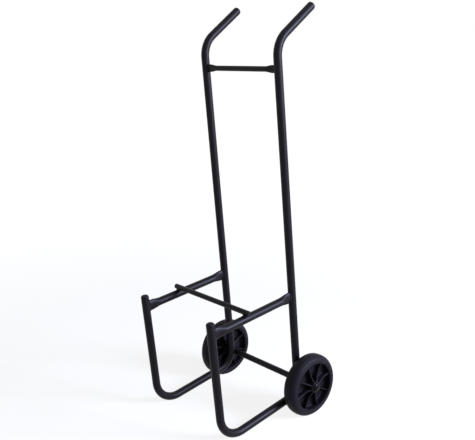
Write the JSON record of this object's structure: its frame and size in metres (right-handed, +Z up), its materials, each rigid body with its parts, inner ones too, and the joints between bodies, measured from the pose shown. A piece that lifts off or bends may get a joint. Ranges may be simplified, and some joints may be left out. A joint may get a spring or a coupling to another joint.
{
  "type": "chair dolly",
  "caption": "Upright chair dolly of bent round steel tube with swept-back handles, side rails, a cross rod and rubber-tyred wheels on a fixed axle.",
  "frame": {"origin": "centre of the whole part's bounding box in X and Y, at floor level", "axes": "+Z up; the load side with the short posts faces -Y and the handles sweep back to +Y; the axle runs along X"},
  "size_m": [0.4736, 0.4842, 1.267],
  "materials": {
    "black_paint": "black paint with a soft gloss on steel tube and rod",
    "tyre_rubber": "matt black solid rubber",
    "wheel_plastic": "moulded black plastic, satin",
    "cap_plastic": "moulded black plastic, smooth"
  },
  "bodies": {
    "frame": {"left_side_tube": "black_paint", "right_side_tube": "black_paint", "left_side_rail": "black_paint", "right_side_rail": "black_paint", "left_rod_stub": "black_paint", "right_rod_stub": "black_paint", "top_crossbar": "black_paint", "cross_rod": "black_paint", "axle": "black_paint", "left_axle_spacer": "black_paint", "right_axle_spacer": "black_paint", "left_handle_plug": "wheel_plastic", "right_handle_plug": "wheel_plastic", "left_post_plug": "wheel_plastic", "right_post_plug": "wheel_plastic", "left_axle_cap": "cap_plastic", "right_axle_cap": "cap_plastic"},
    "left_wheel": {"left_tyre": "tyre_rubber", "left_wheel_centre": "wheel_plastic", "left_inner_bush": "wheel_plastic", "left_outer_bush": "wheel_plastic"},
    "right_wheel": {"right_tyre": "tyre_rubber", "right_wheel_centre": "wheel_plastic", "right_inner_bush": "wheel_plastic", "right_outer_bush": "wheel_plastic"}
  },
  "joints": [
    {"name": "left_wheel_spin", "type": "hinge", "parent": "frame", "child": "left_wheel", "pos_m": [-0.202, 0.14244, 0.09962], "axis": [1, 0, 0], "continuous": true},
    {"name": "right_wheel_spin", "type": "hinge", "parent": "frame", "child": "right_wheel", "pos_m": [0.202, 0.14244, 0.09962], "axis": [1, 0, 0], "continuous": true}
  ]
}
